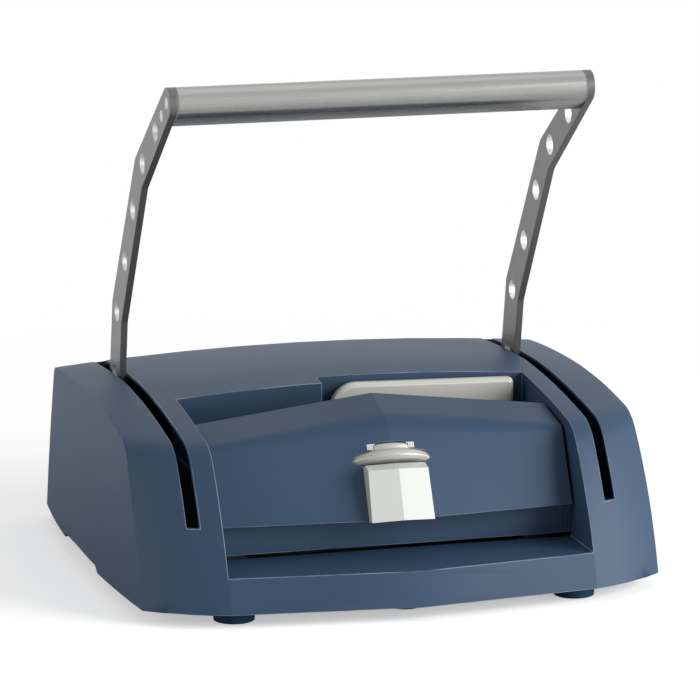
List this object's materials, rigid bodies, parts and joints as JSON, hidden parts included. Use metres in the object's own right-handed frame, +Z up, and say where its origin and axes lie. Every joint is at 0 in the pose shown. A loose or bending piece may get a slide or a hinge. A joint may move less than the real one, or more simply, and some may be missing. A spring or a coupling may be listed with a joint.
{
  "type": "channel binding machine",
  "caption": "Desk-top binding press: low moulded housing, open throat with sliding jaws, long two-armed handle, thumb-wheel selector and a stowed hand tool.",
  "frame": {"origin": "on the table, under the middle of the machine's box", "axes": "+X to the operator's right, +Y to the back of the machine, +Z up"},
  "size_m": [0.4758, 0.438, 0.44],
  "materials": {
    "housing_plastic": "fine moulded grain, blue-grey",
    "frame_steel": "black powder coat",
    "ground_steel": "ground bright",
    "jaw_steel": "machined, lightly oiled",
    "bush_brass": "turned",
    "arm_paint": "satin metallic grey",
    "tube_aluminium": "satin anodised",
    "cap_plastic": "satin",
    "fasteners": "zinc plated",
    "spring_steel": "drawn wire",
    "selector_plastic": "satin pearl off-white",
    "scale_white": "printed white",
    "tool_plastic": "satin warm silver",
    "blade_steel": "ground",
    "foot_rubber": "matte"
  },
  "bodies": {
    "base": {"base_plate": "frame_steel", "housing": "housing_plastic", "front_panel": "housing_plastic", "inner_apron": "housing_plastic", "selector_grip": "selector_plastic", "scale_plates": "scale_white", "side_frame_left": "frame_steel", "side_frame_right": "frame_steel", "front_beam": "frame_steel", "rear_beam": "frame_steel", "guide_rods": "ground_steel", "rod_blocks": "jaw_steel", "channel_rest": "jaw_steel", "shaft_bushes": "bush_brass", "selector_bracket": "frame_steel", "front_feet": "foot_rubber", "centre_foot": "foot_rubber", "rear_feet": "foot_rubber", "foot_screws": "fasteners", "housing_screws": "fasteners", "return_springs": "spring_steel"},
    "handle": {"arm_left": "arm_paint", "arm_right": "arm_paint", "handle_tube": "tube_aluminium", "tube_end_caps": "cap_plastic", "tube_screws": "fasteners", "cross_shaft": "ground_steel", "cam_left": "jaw_steel", "cam_right": "jaw_steel", "shaft_spacers": "fasteners", "shaft_nuts": "fasteners"},
    "rear_jaw": {"rear_jaw_bar": "jaw_steel", "rear_jaw_carriers": "jaw_steel", "follower_noses": "ground_steel"},
    "front_jaw": {"front_jaw_bar": "jaw_steel", "front_jaw_carriers": "jaw_steel", "front_jaw_follower": "jaw_steel"},
    "dial": {"size_wheel": "selector_plastic", "wheel_spindle": "ground_steel", "scroll_cam": "jaw_steel"},
    "opening_tool": {"tool_body": "tool_plastic", "tool_blade": "blade_steel"}
  },
  "joints": [
    {"name": "handle_hinge", "type": "hinge", "parent": "base", "child": "handle", "pos_m": [0, 0.136, 0.045], "axis": [1, 0, 0], "range_deg": [-28, 58]},
    {"name": "rear_jaw_slide", "type": "slide", "parent": "base", "child": "rear_jaw", "axis": [0, -1, 0], "range_m": [-0.0067, 0.0137], "deforming": ["return_springs"]},
    {"name": "dial_turn", "type": "hinge", "parent": "base", "child": "dial", "pos_m": [0, -0.10149, 0.10214], "axis": [0, 0.5033, 0.8641], "range_deg": [0, 240]},
    {"name": "front_jaw_slide", "type": "slide", "parent": "base", "child": "front_jaw", "axis": [0, 1, 0], "range_m": [0, 0.014]},
    {"name": "tool_lift", "type": "slide", "parent": "base", "child": "opening_tool", "axis": [0, 0, 1], "range_m": [0, 0.06]}
  ],
  "couplings": [
    {"joint": "rear_jaw_slide", "follows": "handle_hinge", "m_per_rad": 0.0134},
    {"joint": "dial_turn", "follows": "front_jaw_slide", "rad_per_m": 299.19}
  ]
}
